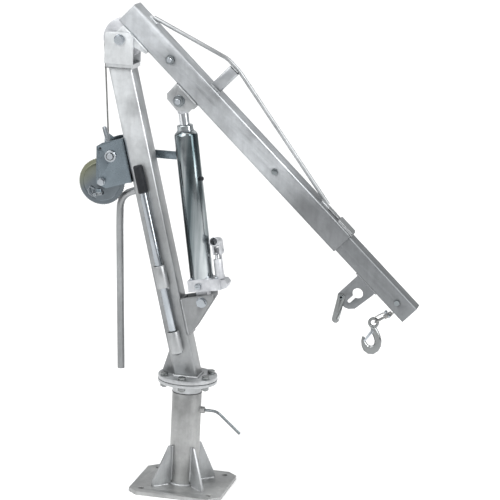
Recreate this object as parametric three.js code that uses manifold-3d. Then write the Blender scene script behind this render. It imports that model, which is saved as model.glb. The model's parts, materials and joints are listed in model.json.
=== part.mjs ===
// Swivelling engine-hoist crane with a long hydraulic jack and a hand winch.
// Millimetres. +X is the way the boom points, +Z is up, the origin is the centre of the base underside.
import * as THREE from "three";
import { mergeVertices } from "three/addons/utils/BufferGeometryUtils.js";
import Module from "manifold-3d";

const wasm = await Module();
wasm.setup();

const DEG = Math.PI / 180;
const GAP = 0.3; // air between pieces that touch
const FLAT = 0.01; // facets closer to flat than this become one
const ROUND = 20; // sides of a round part
const HOLE_SIDES = 16; // sides of a round hole

// ---- driving dimensions ----
const BASE = { side: 280, corner: 30, thick: 12, hole: 9, holeAt: 104 };
const POST = { radius: 44.5, wall: 5, top: 296 };
const GUSSET = { foot: 110, toe: 10, head: 56, height: 131, thick: 8, snipe: 8 };
const LOCK = { z: 242.5, boss: 11, bossEnd: 57, rod: 4.5, bendX: 94, endX: 168, endZ: 180, bend: 14 };
const FLANGE = { radius: 89, lowZ: 326.7, lowTop: 336.2, highZ: 337.2, highTop: 349 };
const FLANGE_BOLT = { count: 6, circle: 73, radius: 7, hole: 7.9, across: 12, head: 8.8, nut: 11, tail: 14 };
const SPIGOT = { radius: 37.5, wall: 6, bottom: 120 };
const MAST = { side: 70, wall: 4, corner: 8, lean: 14.56 * DEG, topZ: 1257.7 };
const MAST_FOOT = { x: 1, z: FLANGE.highTop + GAP };
const RIB = { foot: 9.6, head: 91, toe: [-77.5, 20.5], thick: 10 };
const PIVOT = { x: -235, z: 1341, bolt: 8 };
const SADDLE = { rear: -279, front: -194, inner: 39, outer: 48, floor: 1258, deck: 1270, top: 1361, step: 4 };
const BOOM = { side: 70, wall: 4, corner: 8, droop: 43 * DEG, rear: -43, front: 873, axisZ: 67.6 };
const BOOM_SLOT = { front: 58, width: 22, depth: 10 }; // lets the pivot sheave into the underside
const GUIDE_BOLT = { x: 143.5, radius: 8 };
const CLAMP = { x: 586.9, radius: 6, across: 10, head: 7 };
const EXTENSION = { side: 60, wall: 4, corner: 7, rear: 300, front: 1158 };
const SHEAVE = { radius: 60, groove: 55, thick: 16, hub: 20, hubReach: 10, wrap: 80 };
const TIP = { x: 1105.8, radius: 22, groove: 17.5, thick: 14, axle: 5, mouth: 24 };
const ROPE = 2.5; // radius of the wire rope
const STRUT = { x: 292.5, side: 34, wall: 4, top: 178.6 };
const TRUSS = { rod: 6, start: 20, crown: 186, crownFrom: 256, crownTo: 304, end: 762, tab: 800 };
const RAM_HEAD = { x: 247.3, z: 1.4, bolt: 9 }; // upper jack pin in the boom's frame
const RAM_FOOT = { x: 96.7, z: 214.7, bolt: 8 }; // lower jack pin in the mast's frame
const RAM = { radius: 35, rod: 15, bore: 15.6, bodyFoot: 66, shoulder: 494, neck: 508, top: 526 };
const EYE = { radius: 22, halfWidth: 20, linkGap: 9.5 };
const LOWER_EAR = { inner: 28, outer: 36, foot: 122, head: 235, pad: 6 };
const UPPER_EAR = { rear: 205, front: 291, inner: 25, outer: 33, pad: 5 };
const BOOM_EAR = { inner: 27, outer: 35, tieRear: 64, tieFront: 82, tie: 8 };
const JACK_FOOT = { rear: -37, front: 62, side: 35, from: 32, lug: 17, lugSide: 22, toeSide: 26 };
const VALVE = { x: -5.5, z: 48.5, radius: 9, from: -43, to: -24.5, slot: 2.6, slotDepth: 3 };
const PUMP = { x: 57, barrelY: -10, barrel: 13, barrelTop: 122, plunger: 7, plungerTop: 136 };
const LEVER = { y: 16, z: 143, pin: 4, socket: 14, bore: 11.4, cheekIn: 8, cheekOut: 13 };
const WINCH = { drumX: -276.6, drumZ: 918, shaftX: -251.3, shaftZ: 996, plateIn: 40, plateOut: 43.5 };
const WINCH_BACK = { foot: 602, head: 734, thick: 8 }; // heights up the rear of the mast
const AXLE = 6; // radius of the drum's bolt
const DRUM = { core: 9, coil: 12, half: 27, flange: 45, gear: 68.3, gearFrom: -38, gearTo: -32 };
const DRIVE = { radius: 8, pinion: 13.4, ratchet: 19, ratchetFrom: -30, ratchetTo: -24, bush: 16 };
const CRANK = { length: 190, height: 24, from: 60, to: 66, gripRadius: 13, gripLength: 88, pin: 5 };
const PAWL = { x: -262, z: 1029, hub: 5, hubFrom: -39.5, hubTo: -20, from: -31, to: -24 };
const SWING = { rod: 11, bend: 42 };
const STOW = { x: -3, y: -53.5, tube: 11, foot: 80, top: 648, gripFrom: 567, grip: 14.5 };
const SOCKET = { radius: 18, bore: 15, guideFrom: 279, guideTo: 347, cupFrom: 72, cupTo: 145 };
const KEYHOLE = { x: 1010.6, z: -7.7, radius: 16, slot: 5, slotEnd: -44, thick: 10 };
const LATCH = { x: 986, z: -50, width: 22, length: 80, thick: 5, pin: 4, hang: 11 * DEG };
const HOOK = { x: 1105, z: -33.4, eye: 16.5, bore: 8.5, thick: 14, pinX: -2, pinZ: -24, pin: 2 };

// ---- materials ----
const galvanised = () => new THREE.MeshStandardMaterial({ color: 0xb4b9bb, roughness: 0.45, metalness: 0.8 });
const zinc = () => new THREE.MeshStandardMaterial({ color: 0xc6cbd2, roughness: 0.28, metalness: 0.95 });
const chrome = () => new THREE.MeshStandardMaterial({ color: 0xdfe3e8, roughness: 0.08, metalness: 1 });
const cast = () => new THREE.MeshStandardMaterial({ color: 0xb9bcbd, roughness: 0.5, metalness: 0.8 });
const steelRope = () => new THREE.MeshStandardMaterial({ color: 0x9a9c9c, roughness: 0.5, metalness: 0.85 });
const rubber = () => new THREE.MeshStandardMaterial({ color: 0x1c1d1f, roughness: 0.7, metalness: 0 });
const plated = () => new THREE.MeshStandardMaterial({ color: 0x9aa7b0, roughness: 0.35, metalness: 0.85 });

// ---- solids ----
function solid(geometry) {
  const bare = geometry.clone();
  bare.deleteAttribute("normal");
  bare.deleteAttribute("uv");
  const merged = mergeVertices(bare, 1e-4);
  const corners = new Uint32Array(merged.index.array);
  const build = () =>
    new wasm.Manifold(
      new wasm.Mesh({ numProp: 3, vertProperties: merged.attributes.position.array, triVerts: corners }),
    );
  const made = build();
  if (made.volume() >= 0) return made;
  for (let i = 0; i < corners.length; i += 3) {
    [corners[i + 1], corners[i + 2]] = [corners[i + 2], corners[i + 1]];
  }
  return build();
}

const join = (...pieces) => pieces.reduce((whole, piece) => whole.add(piece));
const cut = (whole, ...pieces) => pieces.reduce((rest, piece) => rest.subtract(piece), whole);

function mesh(name, material, body) {
  const data = body.simplify(FLAT).getMesh();
  const geometry = new THREE.BufferGeometry();
  geometry.setAttribute("position", new THREE.BufferAttribute(new Float32Array(data.vertProperties), 3));
  geometry.setIndex(new THREE.BufferAttribute(new Uint32Array(data.triVerts), 1));
  const faceted = geometry.toNonIndexed();
  faceted.computeVertexNormals();
  const made = new THREE.Mesh(faceted, material);
  made.name = name;
  return made;
}

function box([x0, x1], [y0, y1], [z0, z1]) {
  const g = new THREE.BoxGeometry(x1 - x0, y1 - y0, z1 - z0);
  g.translate((x0 + x1) / 2, (y0 + y1) / 2, (z0 + z1) / 2);
  return solid(g);
}

function circle(x, y, r, sides = HOLE_SIDES) {
  return Array.from({ length: sides }, (_, i) => {
    const a = (2 * Math.PI * i) / sides;
    return new THREE.Vector2(x + r * Math.cos(a), y + r * Math.sin(a));
  });
}

function outline(points, holes = []) {
  const shape = new THREE.Shape(points.map(([x, y]) => new THREE.Vector2(x, y)));
  for (const [x, y, r] of holes) shape.holes.push(new THREE.Path(circle(x, y, r)));
  return shape;
}

// Sheet cut to an outline in the X-Z plane, between two Y values.
function plateXZ(points, y0, y1, holes = []) {
  const g = new THREE.ExtrudeGeometry(outline(points, holes), {
    depth: y1 - y0,
    bevelEnabled: false,
  });
  g.rotateX(Math.PI / 2);
  g.translate(0, y1, 0);
  return solid(g);
}

// Sheet cut to an outline in the X-Y plane, between two heights.
function plateXY(points, z0, z1, holes = []) {
  const g = new THREE.ExtrudeGeometry(outline(points, holes), {
    depth: z1 - z0,
    bevelEnabled: false,
  });
  g.translate(0, 0, z0);
  return solid(g);
}

function rodY(x, z, radius, y0, y1, sides = ROUND) {
  const g = new THREE.CylinderGeometry(radius, radius, y1 - y0, sides);
  g.translate(x, (y0 + y1) / 2, z);
  return solid(g);
}

function rodZ(x, y, radius, z0, z1, sides = ROUND) {
  const g = new THREE.CylinderGeometry(radius, radius, z1 - z0, sides);
  g.rotateX(Math.PI / 2);
  g.translate(x, y, (z0 + z1) / 2);
  return solid(g);
}

function rodX(y, z, radius, x0, x1, sides = ROUND) {
  const g = new THREE.CylinderGeometry(radius, radius, x1 - x0, sides);
  g.rotateZ(Math.PI / 2);
  g.translate((x0 + x1) / 2, y, z);
  return solid(g);
}

// Turned part about the Y axis; the profile is [radius, y] and closes on itself or on the axis.
function turnedY(profile, x, z, sides = ROUND) {
  const g = new THREE.LatheGeometry(profile.map(([r, y]) => new THREE.Vector2(r, y)), sides);
  g.translate(x, 0, z);
  return solid(g);
}

// Turned part about the Z axis.
function turnedZ(profile, x, y, sides = ROUND) {
  const g = new THREE.LatheGeometry(profile.map(([r, h]) => new THREE.Vector2(r, h)), sides);
  g.rotateX(Math.PI / 2);
  g.translate(x, y, 0);
  return solid(g);
}

function roundedSquare(side, radius) {
  const h = side / 2;
  const points = [];
  const steps = 3;
  const centres = [[1, 1], [-1, 1], [-1, -1], [1, -1]];
  centres.forEach(([sx, sy], corner) => {
    for (let i = 0; i <= steps; i++) {
      const a = (corner + i / steps) * (Math.PI / 2);
      points.push([sx * (h - radius) + radius * Math.cos(a), sy * (h - radius) + radius * Math.sin(a)]);
    }
  });
  return points;
}

// Square tube along Z, centred on the axis.
function squareTube({ side, wall, corner }, z0, z1) {
  const outside = plateXY(roundedSquare(side, corner), z0, z1);
  const inside = plateXY(roundedSquare(side - 2 * wall, corner - wall / 2), z0 - 1, z1 + 1);
  return outside.subtract(inside);
}

// Square tube along X at a height.
function squareTubeX(size, x0, x1, z) {
  const turned = (side, corner, from, to) => {
    const g = new THREE.ExtrudeGeometry(outline(roundedSquare(side, corner)), {
      depth: to - from,
      bevelEnabled: false,
    });
    g.rotateY(Math.PI / 2);
    g.translate(from, 0, z);
    return solid(g);
  };
  const outside = turned(size.side, size.corner, x0, x1);
  const inside = turned(size.side - 2 * size.wall, size.corner - size.wall / 2, x0 - 1, x1 + 1);
  return outside.subtract(inside);
}

// Round bar along straight runs joined by bends.
function bentBar(points, radius, bend, steps, sides = 12) {
  const at = points.map((p) => new THREE.Vector3(...p));
  const path = new THREE.CurvePath();
  let from = at[0];
  for (let i = 1; i < at.length - 1; i++) {
    const into = at[i].clone().sub(at[i - 1]).setLength(bend);
    const out = at[i + 1].clone().sub(at[i]).setLength(bend);
    const start = at[i].clone().sub(into);
    const stop = at[i].clone().add(out);
    path.add(new THREE.LineCurve3(from, start));
    path.add(new THREE.QuadraticBezierCurve3(start, at[i], stop));
    from = stop;
  }
  path.add(new THREE.LineCurve3(from, at[at.length - 1]));
  return sweep(path, radius, steps, sides);
}

function sweep(path, radius, steps, sides = 12) {
  const section = new THREE.Shape(circle(0, 0, radius, sides));
  return solid(new THREE.ExtrudeGeometry(section, { steps, extrudePath: path }));
}

// Hexagon bolt along Y: head on the near side of y0, nut past y1.
function boltY(x, z, radius, y0, y1, washers = true) {
  const headHeight = radius * 1.25;
  const across = radius * 1.8;
  const washer = washers ? 2.5 : 0;
  const parts = [
    rodY(x, z, radius, y0 - washer - headHeight, y1 + washer + radius * 2.2),
    rodY(x, z, across, y0 - washer - headHeight, y0 - washer, 6),
    rodY(x, z, across, y1 + washer, y1 + washer + radius * 1.6, 6),
  ];
  if (washers) {
    parts.push(rodY(x, z, radius * 2, y0 - washer, y0));
    parts.push(rodY(x, z, radius * 2, y1, y1 + washer));
  }
  return join(...parts);
}

// Bolt through a pair of ears, clamped over their outer faces.
function boltAcross(pin, outer) {
  return boltY(pin.x, pin.z, pin.bolt, -outer - GAP, outer + GAP);
}

// ---- base and post ----
function basePlate() {
  const h = BASE.side / 2;
  const c = h - BASE.corner;
  const corners = [[h, c], [c, h], [-c, h], [-h, c], [-h, -c], [-c, -h], [c, -h], [h, -c]];
  const at = BASE.holeAt;
  const holes = [[at, at], [-at, at], [-at, -at], [at, -at]].map(([x, y]) => [x, y, BASE.hole]);
  return mesh("base_plate", galvanised(), plateXY(corners, 0, BASE.thick, holes));
}

function postPipe() {
  const bottom = BASE.thick + GAP;
  const outside = rodZ(0, 0, POST.radius, bottom, POST.top, 32);
  const boss = rodX(0, LOCK.z, LOCK.boss, POST.radius - 3, LOCK.bossEnd, 6);
  const bore = rodZ(0, 0, POST.radius - POST.wall, bottom - 1, POST.top + 1, 32);
  const thread = rodX(0, LOCK.z, LOCK.rod + GAP, 20, LOCK.bossEnd + 1);
  return mesh("post_pipe", galvanised(), cut(join(outside, boss), bore, thread));
}

function gussets() {
  const inner = POST.radius + GAP;
  const foot = BASE.thick + GAP;
  const profile = [
    [inner, foot + GUSSET.snipe],
    [inner + GUSSET.snipe, foot],
    [GUSSET.foot, foot],
    [GUSSET.foot, foot + GUSSET.toe],
    [GUSSET.head, GUSSET.height],
    [inner, GUSSET.height],
  ];
  return ["right_rear", "left_rear", "left_front", "right_front"].map((where, i) => {
    const plate = plateXZ(profile, -GUSSET.thick / 2, GUSSET.thick / 2);
    const made = mesh(`gusset_${where}`, galvanised(), plate);
    made.rotation.z = (45 + 90 * i) * DEG;
    return made;
  });
}

function lockScrew() {
  const path = [
    [SPIGOT.radius + GAP + 0.2, 0, LOCK.z],
    [LOCK.bendX, 0, LOCK.z],
    [LOCK.endX, 0, LOCK.endZ],
  ];
  return mesh("lock_screw", galvanised(), bentBar(path, LOCK.rod, LOCK.bend, 16, 16));
}

// ---- swivel ----
function spigot() {
  const collarBottom = POST.top + 1.2;
  const top = FLANGE.lowZ - GAP;
  const collar = rodZ(0, 0, POST.radius, collarBottom, top, 32);
  const stem = rodZ(0, 0, SPIGOT.radius, SPIGOT.bottom, top, 32);
  const bore = rodZ(0, 0, SPIGOT.radius - SPIGOT.wall, SPIGOT.bottom - 1, top + 1, 32);
  return mesh("spigot", galvanised(), cut(join(collar, stem), bore));
}

function flangeBoltPlaces() {
  const { count, circle: reach } = FLANGE_BOLT;
  return Array.from({ length: count }, (_, i) => {
    const a = (30 + (360 / count) * i) * DEG;
    return [reach * Math.cos(a), reach * Math.sin(a)];
  });
}

function flange(name, z0, z1) {
  let disc = rodZ(0, 0, FLANGE.radius, z0, z1, 32);
  for (const [x, y] of flangeBoltPlaces()) {
    disc = disc.subtract(rodZ(x, y, FLANGE_BOLT.hole, z0 - 1, z1 + 1, 8));
  }
  return mesh(name, galvanised(), disc);
}

function flangeBolts() {
  const { radius, across, head, nut, tail } = FLANGE_BOLT;
  const above = FLANGE.highTop + GAP;
  const below = FLANGE.lowZ - GAP;
  return flangeBoltPlaces().map(([x, y], i) => {
    const bolt = join(
      rodZ(x, y, radius, below - tail, above + head - 1, 12),
      rodZ(x, y, across, above, above + head, 6),
      rodZ(x, y, across, below - nut, below, 6),
    );
    return mesh(`flange_bolt_${i + 1}`, zinc(), bolt);
  });
}

// The mast group's own Z runs up the leaning tube, its origin is the centre of the tube's foot.
function mastTube() {
  const reach = 300;
  const long = squareTube(MAST, -40, 1000);
  const below = new THREE.BoxGeometry(reach, reach, 100).translate(0, 0, -50).rotateY(MAST.lean);
  const height = MAST.topZ - MAST_FOOT.z;
  const above = new THREE.BoxGeometry(4 * reach, reach, 100).translate(0, 0, height + 50).rotateY(MAST.lean);
  return mesh("mast_tube", galvanised(), cut(long, solid(below), solid(above)));
}

function mastRib() {
  const face = -MAST.side / 2 - GAP;
  const side = [[face, RIB.foot], [face, RIB.head], RIB.toe];
  return mesh("mast_rib", galvanised(), plateXZ(side, -RIB.thick / 2, RIB.thick / 2));
}

function lowerJackBracket() {
  const face = MAST.side / 2 + GAP;
  const { inner, outer, foot, head, pad } = LOWER_EAR;
  const middle = (inner + outer) / 2;
  const side = [[face, head], [134, head - 2], [132, 219], [55, 138], [face, foot]];
  const hole = [[RAM_FOOT.x, RAM_FOOT.z, RAM_FOOT.bolt + GAP]];
  const body = join(
    plateXZ(side, -outer, -inner, hole),
    plateXZ(side, inner, outer, hole),
    box([face, face + pad], [-middle, middle], [foot, head]),
  );
  return mesh("jack_bracket_lower", galvanised(), body);
}

function lowerJackBolt() {
  return mesh("jack_bolt_lower", zinc(), boltAcross(RAM_FOOT, LOWER_EAR.outer));
}

function stowSockets() {
  const { radius: r, bore, guideFrom, guideTo, cupFrom, cupTo } = SOCKET;
  const guide = cut(
    rodZ(STOW.x, STOW.y, r, guideFrom, guideTo),
    rodZ(STOW.x, STOW.y, bore, guideFrom - 1, guideTo + 1),
  );
  const profile = [
    [0, cupFrom],
    [r - 8, cupFrom + 2],
    [r - 2, cupFrom + 7],
    [r, cupFrom + 14],
    [r, cupTo],
    [0, cupTo],
  ];
  const cup = cut(
    turnedZ(profile, STOW.x, STOW.y),
    rodZ(STOW.x, STOW.y, bore, STOW.foot - 2 * GAP, cupTo + 1),
  );
  return [mesh("handle_guide", galvanised(), guide), mesh("handle_cup", galvanised(), cup)];
}

function pumpHandle() {
  const tube = cut(
    rodZ(STOW.x, STOW.y, STOW.tube, STOW.foot, STOW.top - 4),
    rodZ(STOW.x, STOW.y, STOW.tube - 2, STOW.foot - 1, STOW.gripFrom),
  );
  const { grip, gripFrom, top } = STOW;
  const bore = STOW.tube + GAP;
  const profile = [
    [bore, gripFrom],
    [grip - 1, gripFrom],
    [grip, gripFrom + 3],
    [grip, top - 2],
    [grip - 3, top + 2],
    [0, top + 2],
    [0, top - 4 + GAP],
    [bore, top - 4 + GAP],
    [bore, gripFrom],
  ];
  return [
    mesh("pump_handle_tube", zinc(), tube),
    mesh("pump_handle_grip", rubber(), turnedZ(profile, STOW.x, STOW.y)),
  ];
}

function saddle() {
  const { rear, front, inner, outer, floor, deck, top, step } = SADDLE;
  const side = [
    [rear, deck - 1],
    [front, deck - 1],
    [front, top - 10],
    [front - 10, top],
    [rear + 4, top],
    [rear, top - 4],
  ];
  const hole = [[PIVOT.x, PIVOT.z, PIVOT.bolt + GAP]];
  const body = join(
    box([rear + step, front], [step - outer, outer - step], [floor, deck]),
    plateXZ(side, -outer, -inner, hole),
    plateXZ(side, inner, outer, hole),
  );
  return mesh("saddle", galvanised(), body);
}

function pivotBolt() {
  return mesh("pivot_bolt", zinc(), boltAcross(PIVOT, SADDLE.outer));
}

function swingHandle() {
  const path = [
    [-177.4, 0, 893],
    [-228, 0, 880],
    [-228, 0, 800],
    [-207.5, 0, 346.4],
  ];
  return mesh("swing_handle", galvanised(), bentBar(path, SWING.rod, SWING.bend, 40, 16));
}

// ---- winch ----
function mastToWorld([x, z]) {
  const sin = Math.sin(MAST.lean);
  const cos = Math.cos(MAST.lean);
  return [MAST_FOOT.x + x * cos - z * sin, MAST_FOOT.z + x * sin + z * cos];
}

// Pressed channel: two cheeks and a web against the rear of the mast.
function winchFrame() {
  const shaft = [WINCH.shaftX, WINCH.shaftZ, DRIVE.radius + GAP];
  const axle = [WINCH.drumX, WINCH.drumZ, AXLE + GAP];
  const small = [-283, 1017, 3.5];
  const low = [[-188.5, 923], [-262, 899], [-292.5, 911]];
  const near = [[-295, 1022], [-279, 1033], [-228, 1049], [-222, 1049], ...low];
  const far = [[-295, 1040], [-290, 1054], [-268, 1040], [-250, 1047], [-222.5, 1051], ...low];
  const face = -MAST.side / 2 - GAP;
  const { foot, head, thick } = WINCH_BACK;
  const back = [[face, foot], [face, head], [face - thick, head], [face - thick, foot]];
  const web = back.map(mastToWorld);
  const { plateIn, plateOut } = WINCH;
  const body = join(
    plateXZ(near, -plateOut, -plateIn, [shaft, axle, small]),
    plateXZ(far, plateIn, plateOut, [shaft, axle, small]),
    plateXZ(web, -plateOut, plateOut),
  );
  return mesh("winch_frame", plated(), body);
}

function winchAxle() {
  const { drumX, drumZ, plateOut } = WINCH;
  return mesh("winch_axle", zinc(), boltY(drumX, drumZ, AXLE, -plateOut - GAP, plateOut + GAP));
}

function winchDrum() {
  const { core, half, flange: rim, gear, gearFrom, gearTo } = DRUM;
  const bore = AXLE + GAP;
  const profile = [
    [bore, gearFrom],
    [gear, gearFrom],
    [gear, gearTo],
    [rim, gearTo],
    [rim, -half],
    [core, -half],
    [core, half],
    [rim, half],
    [rim, half + 4],
    [bore, half + 4],
    [bore, gearFrom],
  ];
  return mesh("winch_drum", plated(), turnedY(profile, WINCH.drumX, WINCH.drumZ, 40));
}

// Rope wound on the drum: one layer of turns side by side.
function ropeCoil() {
  const inner = DRUM.core + 3 * GAP;
  const turns = 7;
  const pitch = (2 * DRUM.half - 2) / turns;
  const start = -DRUM.half + 1;
  const profile = [[inner, start]];
  for (let i = 0; i < turns; i++) {
    const y = start + i * pitch;
    profile.push([DRUM.coil - 1, y + 0.1 * pitch]);
    profile.push([DRUM.coil + ROPE, y + 0.5 * pitch]);
    profile.push([DRUM.coil - 1, y + 0.9 * pitch]);
  }
  profile.push([inner, start + turns * pitch], [inner, start]);
  return mesh("rope_coil", steelRope(), turnedY(profile, WINCH.drumX, WINCH.drumZ, 16));
}

function winchDrive() {
  const { shaftX: x, shaftZ: z, plateOut } = WINCH;
  const { radius, pinion, ratchet, ratchetFrom, ratchetTo, bush } = DRIVE;
  const body = join(
    rodY(x, z, radius, -plateOut - 8, CRANK.to + 9),
    rodY(x, z, pinion, DRUM.gearFrom - 1, DRUM.gearTo + 1, 24),
    rodY(x, z, ratchet, ratchetFrom, ratchetTo, 24),
    rodY(x, z, bush, -plateOut - 5, -plateOut - GAP, 24),
  );
  return mesh("winch_drive", zinc(), body);
}

function winchCrank() {
  const { shaftX: x, shaftZ: z } = WINCH;
  const { length, height, from, to, gripLength, pin } = CRANK;
  const h = height / 2;
  const end = to + gripLength;
  const arm = box([x - h, x + length + h], [from, to], [z - h, z + h]);
  const body = join(
    cut(arm, rodY(x, z, DRIVE.radius + GAP, from - 1, to + 1)),
    rodY(x + length, z, pin, from, end + 8),
    rodY(x + length, z, 1.8 * pin, end + 2, end + 7, 6),
  );
  return mesh("winch_crank", plated(), body);
}

function crankGrip() {
  const { length, to, gripRadius: r, gripLength } = CRANK;
  const bore = CRANK.pin + GAP;
  const y0 = to + 1;
  const y1 = to + gripLength + 1;
  const profile = [
    [bore, y0],
    [r - 2, y0],
    [r, y0 + 4],
    [r - 1, (y0 + y1) / 2],
    [r, y1 - 4],
    [r - 2, y1],
    [bore, y1],
    [bore, y0],
  ];
  return mesh("crank_grip", rubber(), turnedY(profile, WINCH.shaftX + length, WINCH.shaftZ, 24));
}

function winchPawl() {
  const { x, z, hub, hubFrom, hubTo, from, to } = PAWL;
  const side = [
    [x + 7, z - 11],
    [x + 10.5, z - 11.5],
    [x + 9, z + 1],
    [x + 6, z + 7],
    [x - 9, z + 49],
    [x - 15, z + 52],
    [x - 21, z + 48],
    [x - 7, z + 1],
    [x - 2, z - 5],
  ];
  return mesh("winch_pawl", zinc(), join(plateXZ(side, from, to), rodY(x, z, hub, hubFrom, hubTo, 20)));
}

// Rope from the front of the drum up to the pivot sheave and round the sheave's rear.
function mastRope() {
  const r = SHEAVE.groove + ROPE + 0.2;
  const path = new THREE.CurvePath();
  const low = new THREE.Vector3(WINCH.drumX + DRUM.coil, 4, WINCH.drumZ + DRUM.coil + 1);
  const start = new THREE.Vector3(PIVOT.x - r, 0, PIVOT.z - 12);
  path.add(new THREE.LineCurve3(low, start));
  const arc = [];
  for (let a = 0; a <= SHEAVE.wrap; a += 10) {
    const t = (180 - a) * DEG;
    arc.push(new THREE.Vector3(PIVOT.x + r * Math.cos(t), 0, PIVOT.z + r * Math.sin(t)));
  }
  path.add(new THREE.CatmullRomCurve3([start, ...arc]));
  return mesh("rope_mast", steelRope(), sweep(path, ROPE, 48, 8));
}

// ---- boom; X runs along it and the origin is the pivot ----
const boomUnder = BOOM.axisZ - BOOM.side / 2;
const boomTop = BOOM.axisZ + BOOM.side / 2;

function boomTube() {
  const { side, rear, front, axisZ } = BOOM;
  const tube = squareTubeX(BOOM, rear, front, axisZ);
  const half = BOOM_SLOT.width / 2;
  const slot = box([rear - 1, BOOM_SLOT.front], [-half, half], [boomUnder - 1, boomUnder + BOOM_SLOT.depth]);
  const guide = rodY(GUIDE_BOLT.x, axisZ, GUIDE_BOLT.radius + GAP, -side, side);
  const clamp = rodY(CLAMP.x, axisZ, CLAMP.radius + GAP, -side, 0);
  return mesh("boom_tube", galvanised(), cut(tube, slot, guide, clamp));
}

function boomEars() {
  const top = boomUnder - GAP;
  const { inner, outer, tieRear, tieFront, tie } = BOOM_EAR;
  const middle = (inner + outer) / 2;
  const round = [[-24, -6], [-18, -16], [-8, -22], [8, -22], [18, -16]];
  const side = [[-24, top], ...round, [30, 8], [tieFront, top - tie], [tieFront, top]];
  const hole = [[0, 0, PIVOT.bolt + GAP]];
  const body = join(
    plateXZ(side, -outer, -inner, hole),
    plateXZ(side, inner, outer, hole),
    box([tieRear, tieFront], [-middle, middle], [top - tie, top]),
  );
  return mesh("boom_ears", galvanised(), body);
}

// Outer edge of a rope wheel, from one face to the other.
const rim = (r, groove, h) => [[r, -h], [r, -h + 2], [groove, -1.5], [groove, 1.5], [r, h - 2], [r, h]];

function pivotSheave() {
  const { radius: r, groove, thick, hub, hubReach } = SHEAVE;
  const h = thick / 2;
  const bore = PIVOT.bolt + GAP;
  const end = h + hubReach;
  const profile = [
    [bore, -end],
    [hub, -end],
    [hub, -h],
    ...rim(r, groove, h),
    [hub, h],
    [hub, end],
    [bore, end],
    [bore, -end],
  ];
  return mesh("pivot_sheave", cast(), turnedY(profile, 0, 0, 28));
}

function trussBar() {
  const { rod, start, crown, crownFrom, crownTo, end, tab } = TRUSS;
  const seat = boomTop + GAP + rod;
  const bar = bentBar(
    [[start, 0, seat], [crownFrom, 0, crown], [crownTo, 0, crown], [end, 0, seat]],
    rod, 10, 60, 16,
  );
  const foot = box([end - 24, tab], [-rod, rod], [boomTop + GAP, boomTop + GAP + 6]);
  return mesh("truss_bar", galvanised(), join(bar, foot));
}

function trussStrut() {
  const { x, side, wall, top } = STRUT;
  const tube = squareTube({ side, wall, corner: 5 }, boomTop + GAP, top);
  const g = mesh("truss_strut", galvanised(), tube);
  g.position.x = x;
  return g;
}

function upperJackBracket() {
  const top = boomUnder - GAP;
  const { rear, front, inner, outer, pad } = UPPER_EAR;
  const middle = (inner + outer) / 2;
  const side = [[rear, top], [rear + 2, -10], [218, -21], [261, -24], [front - 1, 0], [front, top]];
  const hole = [[RAM_HEAD.x, RAM_HEAD.z, RAM_HEAD.bolt + GAP]];
  const body = join(
    plateXZ(side, -outer, -inner, hole),
    plateXZ(side, inner, outer, hole),
    box([rear, front], [-middle, middle], [top - pad, top]),
  );
  return mesh("jack_bracket_upper", galvanised(), body);
}

function upperJackBolt() {
  return mesh("jack_bolt_upper", zinc(), boltAcross(RAM_HEAD, UPPER_EAR.outer));
}

function guideBolt() {
  const face = BOOM.side / 2 + GAP;
  return mesh("guide_bolt", zinc(), boltY(GUIDE_BOLT.x, BOOM.axisZ, GUIDE_BOLT.radius, -face, face, false));
}

function clampScrew() {
  const face = BOOM.side / 2 + GAP;
  const { x, radius, across, head } = CLAMP;
  const body = join(
    rodY(x, BOOM.axisZ, radius, -face - head, -EXTENSION.side / 2 - 0.5, 20),
    rodY(x, BOOM.axisZ, across, -face - head, -face, 6),
  );
  return mesh("clamp_screw", zinc(), body);
}

// ---- extension ----
const extensionUnder = BOOM.axisZ - EXTENSION.side / 2;

function extensionTube() {
  const { rear, front } = EXTENSION;
  const tube = squareTubeX(EXTENSION, rear, front, BOOM.axisZ);
  const half = TIP.mouth / 2;
  const mouthRear = TIP.x - TIP.radius;
  const mouth = box([mouthRear, front + 1], [-half, half], [extensionUnder - 1, extensionUnder + 10]);
  const axle = rodY(TIP.x, BOOM.axisZ, TIP.axle + GAP, -50, 50, 20);
  return mesh("extension_tube", galvanised(), cut(tube, mouth, axle));
}

function tipAxle() {
  const face = EXTENSION.side / 2 + GAP;
  return mesh("tip_axle", zinc(), boltY(TIP.x, BOOM.axisZ, TIP.axle, -face, face, false));
}

function tipSheave() {
  const { radius: r, groove, thick, axle } = TIP;
  const h = thick / 2;
  const bore = axle + GAP;
  const profile = [[bore, -h], ...rim(r, groove, h), [bore, h], [bore, -h]];
  return mesh("tip_sheave", cast(), turnedY(profile, TIP.x, BOOM.axisZ, 20));
}

function keyholePlate() {
  const { x, z, radius, slot, slotEnd, thick } = KEYHOLE;
  const top = extensionUnder - GAP;
  const side = [
    [972, top - 3],
    [972, -52],
    [980, -62],
    [1014, -66],
    [1026, -60],
    [1038, -45],
    [1044, 20],
    [1044, top - 3],
  ];
  const h = thick / 2;
  const plate = plateXZ(side, -h, h);
  const hole = rodY(x, z, radius, -h - 1, h + 1);
  const neck = box([x - slot, x + slot], [-h - 1, h + 1], [slotEnd, z]);
  const end = rodY(x, slotEnd, slot, -h - 1, h + 1, 16);
  const strip = box([964, 1048], [-16, 16], [top - 5, top]);
  const pin = rodY(LATCH.x, LATCH.z, LATCH.pin, -h - LATCH.thick - 4, h, 16);
  return mesh("keyhole_plate", galvanised(), join(cut(plate, hole, neck, end), strip, pin));
}

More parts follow.
